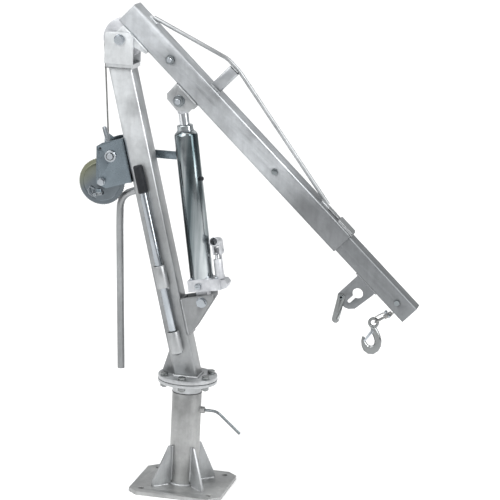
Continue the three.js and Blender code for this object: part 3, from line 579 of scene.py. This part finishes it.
def weld_bead(name, points, body, radius, seed):
    """A run of weld: a line of overlapping ripples of uneven size."""
    rng = random.Random(seed)
    dense = closer(points, 1.5)
    lump = 6  # points from one random size to the next
    jitter = [rng.uniform(-1, 1) for _ in range(len(dense) // lump + 3)]
    radii = []
    for i in range(len(dense)):
        share = (i % lump) / lump
        slow = jitter[i // lump] * (1 - share) + jitter[i // lump + 1] * share
        ripple = (0.0, 0.75, 1.0)[i % 3]
        radii.append(radius * (0.84 + 0.16 * ripple + 0.14 * slow))
    radii[0] *= 0.5
    radii[-1] *= 0.5
    return add_tube(name, dense, radii, GALV_WELD, body, 8)


def weld_pair(name, local, y, start, stop, body, radius, seed):
    """Two straight beads, one on each side, between two (x, z) places of a local frame."""
    for side in (NEAR, FAR):
        run = [local.at(x, side * y, z) for x, z in (start, stop)]
        weld_bead(f"{name}_{SIDE_NAME[side]}", run, body, radius, seed)


def add_prism(name, local, outline, y0, y1, paint, body):
    """Sheet cut to an outline in a local x-z plane."""
    n = len(outline)
    vertices = [local.at(x, y, z) for y in (y0, y1) for x, z in outline]
    faces = [tuple(range(n)), tuple(range(2 * n - 1, n - 1, -1))]
    faces += [(i, (i + 1) % n, n + (i + 1) % n, n + i) for i in range(n)]
    obj = add_mesh(name, vertices, faces, paint, body)
    bevel = obj.modifiers.new("bevel", "BEVEL")
    bevel.width = 0.6 * MM
    bevel.limit_method = "ANGLE"
    obj.modifiers.move(1, 0)
    return obj


def block(x0, x1, z0, z1):
    return [(x0, z0), (x1, z0), (x1, z1), (x0, z1)]


def add_turned(name, local, x, z, profile, paint, body, sides=28):
    """Turned part about a local y axis through (x, z); the profile is (radius, y) pairs."""
    rings = []
    for r, y in profile:
        rings.append([local.at(x + r * math.cos(a), y, z + r * math.sin(a)) for a in angles(sides)])
    return add_mesh(name, *skin(rings, sides), paint, body)


def add_turned_up(name, local, x, y, profile, paint, body, sides=28):
    """Turned part about a local z axis through (x, y); the profile is (radius, z) pairs."""
    rings = []
    for r, z in profile:
        rings.append([local.at(x + r * math.cos(a), y + r * math.sin(a), z) for a in angles(sides)])
    return add_mesh(name, *skin(rings, sides), paint, body)


def add_rope(name, points, body):
    """Wire rope: strands laid round a core along a line of points."""
    strands, lay = 6, 30
    dense = closer(points, 1.6)
    spine = frames_along(dense)
    lines = []
    for s in range(strands):
        travelled = 0.0
        strand = []
        for i, (centre, _, u, v) in enumerate(spine):
            if i:
                travelled += (centre - spine[i - 1][0]).length / MM
            a = math.tau * (s / strands + travelled / lay)
            strand.append(centre + (u * math.cos(a) + v * math.sin(a)) * ROPE_RADIUS * 0.62 * MM)
        lines.append((strand, ROPE_RADIUS * 0.42))
    lines.append((dense, ROPE_RADIUS * 0.5))
    vertices = []
    faces = []
    for wire, radius in lines:
        more, quads = tube_data(wire, radius, 6)
        shift = len(vertices)
        vertices += more
        faces += [tuple(i + shift for i in quad) for quad in quads]
    return add_mesh(name, vertices, faces, WIRE, body, split=False)


# ---- ropes ----
def build_ropes():
    drum = Local(joint_point("drum_spin"))
    sheave = Local(BOOM.origin)
    rise = [drum.at(12, 4, 12), sheave.at(-SHEAVE_ROPE, 0, -12)]
    mast = add_rope("mast_rope", rise + arc(sheave, SHEAVE_ROPE, 180, 100, 14), "swivel")
    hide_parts("rope_mast")
    add_rope("boom_rope", [BOOM.at(60, 0, 57), BOOM.at(280, 0, 57)], "boom")
    build_rope_clip()


SLACK_STRAND = ((586.9, -12, 598), (577, -12, 597), (565.8, -12, 590), (556, -11, 583), (549, -10, 574))
CLIP_NUTS = (("upper", 586, 601), ("lower", 597, 590))  # name, x and z


def build_rope_clip():
    """Clip that closes the rope's loop, and the slack strand of the loop."""
    add_tube("rope_slack_strand", [WORLD.at(*p) for p in SLACK_STRAND], 1.9, WIRE, "extension", 10)
    for end, x, z in CLIP_NUTS:
        nut = [(4.9, -14.5), (5.3, -14), (5.3, -7.5)]
        stud = [(2.4, -17.5), (2.8, -17), (2.8, -14)]
        add_turned(f"rope_clip_nut_{end}", WORLD, x, z, nut, BOLT_DARK, "extension", 6)
        add_turned(f"rope_clip_stud_{end}", WORLD, x, z, stud, ZINC, "extension", 12)


# ---- welds ----
def build_base_welds():
    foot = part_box("base_plate")[1].z / MM
    bead = POST_RADIUS + 0.3
    weld_bead("weld_post_foot", level_ring(WORLD, bead, foot + 1, 40), "base", 4.0, 3)
    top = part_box("post_pipe")[1].z / MM
    weld_bead("weld_collar", level_ring(WORLD, bead, top + 30.5, 40), "swivel", 3.2, 4)
    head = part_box("gusset_right_rear")[1].z / MM
    for i in range(4):
        turn = math.radians(45 + 90 * i)
        for side in (NEAR, FAR):
            build_gusset_welds(i, side, turn, foot, head)


def build_gusset_welds(i, side, turn, foot, head):
    """Beads up the post and along the base plate, on one face of a gusset."""
    face = 4.2  # from the middle of the gusset to the bead

    def at(out, z):
        across = side * face
        x = out * math.cos(turn) - across * math.sin(turn)
        y = out * math.sin(turn) + across * math.cos(turn)
        return WORLD.at(x, y, z)

    post = POST_RADIUS + 0.3
    up = [at(post, foot + 12), at(post, head)]
    along = [at(56, foot), at(106, foot)]
    weld_bead(f"weld_gusset_up_{i}_{SIDE_NAME[side]}", up, "base", 2.8, 10 + i)
    weld_bead(f"weld_gusset_foot_{i}_{SIDE_NAME[side]}", along, "base", 2.8, 20 + i)


def build_seams():
    """Painted shade: dark rings in the gaps between the flanges and between the post and the collar, and a
    painted shadow line under the saddle.
    """
    low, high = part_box("flange_lower")
    flange = (high.x - low.x) / 2 / MM
    post_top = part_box("post_pipe")[1].z / MM
    for name, level, radius in (
        ("seam_flanges", high.z / MM + 0.5, flange - 0.2),
        ("seam_collar", post_top + 0.6, POST_RADIUS + 0.3),
    ):
        add_tube(name, level_ring(WORLD, radius, level, 72), 0.9, SEAM_SHADOW, "swivel", 6)
    low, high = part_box("saddle")
    saddle = Local((0, 0, low.z))
    for side in (NEAR, FAR):
        edge = [saddle.at(x, side * 47.6, -0.2) for x in (low.x / MM + 2, high.x / MM - 4)]
        add_tube(f"shadow_under_saddle_{SIDE_NAME[side]}", edge, 0.8, SEAM_SHADOW, "swivel", 6)


def build_mast_welds():
    half = TUBE_HALF + 0.5
    face = TUBE_HALF + 0.8
    slope = -MAST.z.x / MAST.z.z
    foot = [
        MAST.at(x, y, 1.0 - x * slope)
        for x, y in ((-half, -half), (half, -half), (half, half), (-half, half), (-half, -half))
    ]
    weld_bead("weld_mast_foot", foot, "swivel", 3.8, 31)
    build_saddle_welds()
    start, stop = ((face, z) for z in LOWER_BRACKET)
    weld_pair("weld_jack_bracket", MAST, 34, start, stop, "swivel", 3.6, 34)
    start, stop = ((-face, z) for z in RIB)
    weld_pair("weld_rib", MAST, 6, start, stop, "swivel", 3.0, 35)
    bar = 11.5
    root = []
    for a in angles(24) + [0.0]:
        root.append(MAST.at(-face, bar * math.cos(a), SWING_ROOT + bar * math.sin(a)))
    weld_bead("weld_swing_root", root, "swivel", 3.5, 36)
    for end, z in HOLDER_ENDS:
        for side in (NEAR, FAR):
            x = HOLDER_X + side * 9
            run = [MAST.at(x, -36.5, z - 10), MAST.at(x, -36.5, z - 2)]
            weld_bead(f"weld_{end}_{SIDE_NAME[side]}", run, "swivel", 3.0, 37)


def build_saddle_welds():
    low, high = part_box("saddle")
    middle = Local(((low.x + high.x) / 2 + 0.001, 0, low.z))
    weld_bead("weld_mast_top", square_ring(middle, 36.5, 35.5, -0.5), "swivel", 3.4, 32)
    reach = (high.x - low.x) / 2 / MM
    start, stop = (-reach + 3, 13), (reach - 5, 13)
    weld_pair("weld_saddle", middle, 38.4, start, stop, "swivel", 3.5, 33)


def boom_welds(name, y, stretch, z, body, radius, seed):
    """A pair of beads along a stretch of the boom."""
    start, stop = ((x, z) for x in stretch)
    weld_pair(name, BOOM, y, start, stop, body, radius, seed)


def build_boom_welds():
    boom_welds("weld_ear", 35.2, EARS, BOOM_UNDER, "boom", 2.8, 41)
    boom_welds("weld_upper_bracket", 34.2, UPPER_BRACKET, BOOM_UNDER - 0.5, "boom", 3.4, 42)
    for end, rear, front, seed in TRUSS_ENDS:
        boom_welds(f"weld_truss_{end}", 5.4, (rear, front), BOOM_TOP + 0.5, "boom", 3.4, seed)
    strut = Local(BOOM.at(STRUT_X, 0, 0), BOOM.z)
    weld_bead("weld_strut_foot", square_ring(strut, 17.4, 17.4, BOOM_TOP), "boom", 3.2, 45)
    head = (STRUT_X - 16, STRUT_X + 12)
    boom_welds("weld_strut_head", 5.2, head, STRUT_TOP, "boom", 3.0, 46)
    strip = EXTENSION_UNDER - 0.6
    boom_welds("weld_keyhole", 16.4, KEYHOLE_STRIP, strip, "extension", 2.6, 47)
    boom_welds("weld_keyhole_plate", 5.6, KEYHOLE_PLATE, strip - 5.2, "extension", 2.6, 48)


# ---- boom details ----
def build_boom_details():
    end_plate = block(*END_PLATE, BOOM_TOP, BOOM_TOP + 5.6)
    add_prism("boom_end_plate", BOOM, end_plate, -27, 27, GALV, "boom")
    bead = (END_PLATE[0] + 2, END_PLATE[1] - 2)
    boom_welds("weld_end_plate", 27.4, bead, BOOM_TOP + 0.3, "boom", 3.0, 51)
    foot = block(*TRUSS_FOOT, BOOM_TOP, BOOM_TOP + 3.5)
    add_prism("truss_foot", BOOM, foot, -12, 12, GALV, "boom")
    head = [(6.5, -14), (7.5, -13), (7.5, -9)]
    add_turned("latch_head", BOOM, *LATCH_PIN, head, BOLT_DARK, "extension", 6)
    lip = block(*MOUTH_LIP, BOOM_TOP - 1.3, BOOM_TOP + 1.3)
    add_prism("boom_mouth_lip", BOOM, lip, -33, 33, GALV, "boom")


BOLTS = (  # name, body it rides, radius
    ("pivot_bolt", "swivel", 8),
    ("jack_bolt_lower", "swivel", 8),
    ("winch_axle", "swivel", 6),
    ("jack_bolt_upper", "boom", 9),
    ("guide_bolt", "boom", 8),
    ("tip_axle", "extension", 5),
)
NEAR_STUBS = ("guide_bolt", "jack_bolt_upper")  # bolts that also show a thread end on the near side


def build_bolt_ends():
    """Raised faces on the bolt heads and threads past the nuts."""
    for name, body, radius in BOLTS:
        low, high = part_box(name)
        local = Local(((low.x + high.x) / 2, 0, (low.z + high.z) / 2))
        face, tail = low.y / MM, high.y / MM
        paint = finish_of(name)
        disc = [(radius * 1.45, face - 0.5), (radius * 1.45, face + 0.4)]
        add_turned(f"{name}_face", local, 0, 0, disc, paint, body)
        thread = []
        for i in range(7):
            y = tail - 1.2 + radius * (0.1 * i - 0.55)
            thread += [(radius * 0.90, y), (radius * 1.02, y + radius * 0.05)]
        add_turned(f"{name}_thread", local, 0, 0, thread, paint, body, 20)
        if name in NEAR_STUBS:
            stub = [(radius * 0.8, face - 6.5), (radius * 0.95, face - 5.5), (radius * 0.95, face + 1)]
            add_turned(f"{name}_stub", local, 0, 0, stub, ZINC, body, 20)


# ---- winch ----
def add_gear(name, local, teeth, root, tip, y0, y1, paint, body, phase=0.0):
    """Toothed ring about Y; each tooth is a trapezium between the root and tip radii."""
    tooth = ((0.0, root), (0.18, root), (0.32, tip), (0.68, tip), (0.82, root))
    inner = root * 0.86
    around = []
    for t in range(teeth):
        around += [(math.tau * (t + share + phase) / teeth, r) for share, r in tooth]
    vertices = []
    for y in (y0, y1):
        vertices += [local.at(r * math.cos(a), y, r * math.sin(a)) for a, r in around]
        vertices += [local.at(inner * math.cos(a), y, inner * math.sin(a)) for a, _ in around]
    n = len(around)
    faces = []
    for i in range(n):
        j = (i + 1) % n
        faces.append((i, j, n + j, n + i))
        faces.append((2 * n + i, 3 * n + i, 3 * n + j, 2 * n + j))
        faces.append((i, 2 * n + i, 2 * n + j, j))
        faces.append((n + i, n + j, 3 * n + j, 3 * n + i))
    return add_mesh(name, vertices, faces, paint, body)


COIL_TURNS, COIL_RADIUS, COIL_HALF = 8, 15.2, 23.2  # the rope wound on the drum
PLATE_HOLE = (-283, 1017)  # x and z of a small hole in the winch's near plate


def build_winch():
    drum = Local(joint_point("drum_spin"))
    add_gear("drum_gear_teeth", drum, 64, 66.6, 69.6, -38.2, -31.8, PLATED_YELLOW, "drum")
    add_tube("drum_dish", side_ring(drum, 57, -38.1, 60), 0.9, PLATED_YELLOW, "drum", 8)
    coil = []
    steps = COIL_TURNS * 24
    for i in range(steps + 1):
        a = math.tau * i / 24
        y = COIL_HALF * (1 - 2 * i / steps)
        coil.append(drum.at(COIL_RADIUS * math.cos(a), y, COIL_RADIUS * math.sin(a)))
    add_rope("coiled_rope", coil, "drum")
    build_winch_shaft()
    shadow = [(3.4, -41.2), (3.4, -40.6)]
    add_turned("plate_hole_shadow", WORLD, *PLATE_HOLE, shadow, SEAM_SHADOW, "swivel", 16)
    build_rope_keeper(drum)


def build_winch_shaft():
    shaft = Local(joint_point("crank_spin"))
    add_gear("pinion_teeth", shaft, 13, 11.6, 15.0, -39.2, -30.8, ZINC, "crank", 0.5)
    for name, paint, sides, profile in (
        ("shaft_bush", ZINC, 28, [(16.5, -49.2), (17.4, -48.4), (17.4, -44.1), (16.5, -43.9)]),
        ("shaft_recess", BOLT_DARK, 28, [(12.6, -49.3), (11.8, -49.6), (11.2, -49.3)]),
        ("shaft_end", ZINC, 28, [(8.4, -52.6), (9.4, -51.8), (9.4, -49.2)]),
        ("crank_hub", ZINC, 6, [(15, 66.1), (15, 71.5), (13.5, 73), (9, 73)]),
    ):
        add_turned(name, shaft, 0, 0, profile, paint, "crank", sides)


KEEPER_WIRE = ((-20, -45, -24), (-34, -46, -17), (-39, -47, -26), (-35, -47, -38), (-24, -46, -46))
KEEPER_INNER = ((-24, -46, -28), (-27, -47, -38), (-14, -46, -48))


def build_rope_keeper(drum):
    """Bent wires, a bridge and two nuts, hung below the winch's near plate."""
    add_tube("keeper_wire", [drum.at(*p) for p in KEEPER_WIRE], 1.4, ZINC, "swivel", 10)
    add_tube("keeper_wire_inner", [drum.at(*p) for p in KEEPER_INNER], 1.2, ZINC, "swivel", 10)
    bridge = [(-24, -36), (4, -30), (6, -39), (-21, -47)]
    add_prism("keeper_bridge", drum, bridge, -46, -42, BOLT_DARK, "swivel")
    lug = [(-14, -22), (0, -22), (2, -34), (-14, -36)]
    add_prism("keeper_lug", drum, lug, -45.5, -43.7, PLATED, "swivel")
    for end, x, z in (("rear", -17, -40), ("front", 0, -35)):
        nut = [(5.2, -51), (5.6, -50.3), (5.6, -46)]
        stud = [(2.6, -53), (3.0, -52.5), (3.0, -50.5)]
        add_turned(f"keeper_nut_{end}", drum, x, z, nut, ZINC, "swivel", 6)
        add_turned(f"keeper_stud_{end}", drum, x, z, stud, BOLT_DARK, "swivel", 14)


# ---- jack ----
def build_jack():
    plug = JACK.at(34.5, -14, 365)
    out = JACK.x * 0.9 - JACK.y * 0.42  # square to the tube's wall
    ends = [plug + out * reach * MM for reach in (-4, 6, 7.5)]
    add_tube("oil_plug", ends, [6.2, 6.2, 4.2], RUBBER, "jack", 18)
    for part, z, radius, thick in (("neck", 508.5, 24.6, 1.6), ("wiper", 525.4, 16.8, 1.3)):
        add_tube(f"jack_ring_{part}", level_ring(JACK, radius, z, 40), thick, ZINC, "jack", 8)
    add_tube("jack_foot_ring", level_ring(JACK, 35, 66.6, 40), 1.8, CAST, "jack", 8)
    for end, x in (("rear", -26), ("front", 50)):
        screw = [(5.2, 66.0), (5.2, 70.5), (4.2, 71.5)]
        add_turned_up(f"jack_base_screw_{end}", JACK, x, -24, screw, ZINC, "jack", 6)
    eye = (joint_point("eye_turn") - JACK.origin).length / MM
    neck = [(15.2, eye - 40), (16.5, eye - 38), (17.5, eye - 30), (18.5, eye - 20)]
    add_turned_up("rod_neck", JACK, 0, 0, neck, CAST, "jack_rod")


# ---- stage ----
def area_light(name, location, target, size, power):
    data = bpy.data.lights.new(name, "AREA")
    data.shape = "RECTANGLE"
    data.size, data.size_y = size
    data.energy = power
    lamp = bpy.data.objects.new(name, data)
    bpy.context.scene.collection.objects.link(lamp)
    lamp.location = location
    aim = Vector(target) - Vector(location)
    lamp.rotation_euler = aim.to_track_quat("-Z", "Y").to_euler()


def build_floor():
    bpy.ops.mesh.primitive_plane_add(size=90, location=(0, 0, 0))
    floor = bpy.context.object
    floor.name = "floor"
    floor.data.materials.append(floor_paint("floor_paint"))


def build_sky():
    """Pale studio: darker at the level of the floor, even higher up."""
    world = bpy.data.worlds.new("studio")
    bpy.context.scene.world = world
    world.use_nodes = True
    tree = world.node_tree
    background = tree.nodes["Background"]
    coords = tree.nodes.new("ShaderNodeTexCoord")
    split = tree.nodes.new("ShaderNodeSeparateXYZ")
    ramp = tree.nodes.new("ShaderNodeValToRGB")
    tree.links.new(coords.outputs["Generated"], split.inputs["Vector"])
    tree.links.new(split.outputs["Z"], ramp.inputs["Fac"])
    stops = ramp.color_ramp.elements
    stops[0].position, stops[0].color = 0.0, (0.34, 0.35, 0.36, 1)
    stops[1].position, stops[1].color = 1.0, (0.80, 0.80, 0.80, 1)
    shoulder = stops.new(0.35)
    shoulder.color = (0.80, 0.81, 0.82, 1)
    tree.links.new(ramp.outputs["Color"], background.inputs["Color"])
    background.inputs["Strength"].default_value = 1.0


def build_lights():
    data = bpy.data.lights.new("key", "SUN")
    data.energy = 2.2
    data.angle = math.radians(60)
    key = bpy.data.objects.new("key", data)
    bpy.context.scene.collection.objects.link(key)
    key.rotation_euler = Vector((0.55, 0.60, -0.75)).to_track_quat("-Z", "Y").to_euler()
    area_light("side", (3.4, -1.2, 2.4), (0, 0, 0.9), (1.2, 2.2), 60)
    area_light("top", (2.2, -1.4, 3.6), (0.1, 0, 0.9), (0.9, 0.9), 45)
    view = bpy.context.scene.view_settings
    view.view_transform = "Standard"
    view.look = "None"


build_camera()
dress_nodes()
build_ropes()
build_base_welds()
build_seams()
build_mast_welds()
build_boom_welds()
build_boom_details()
build_bolt_ends()
build_winch()
build_jack()
build_floor()
build_sky()
build_lights()
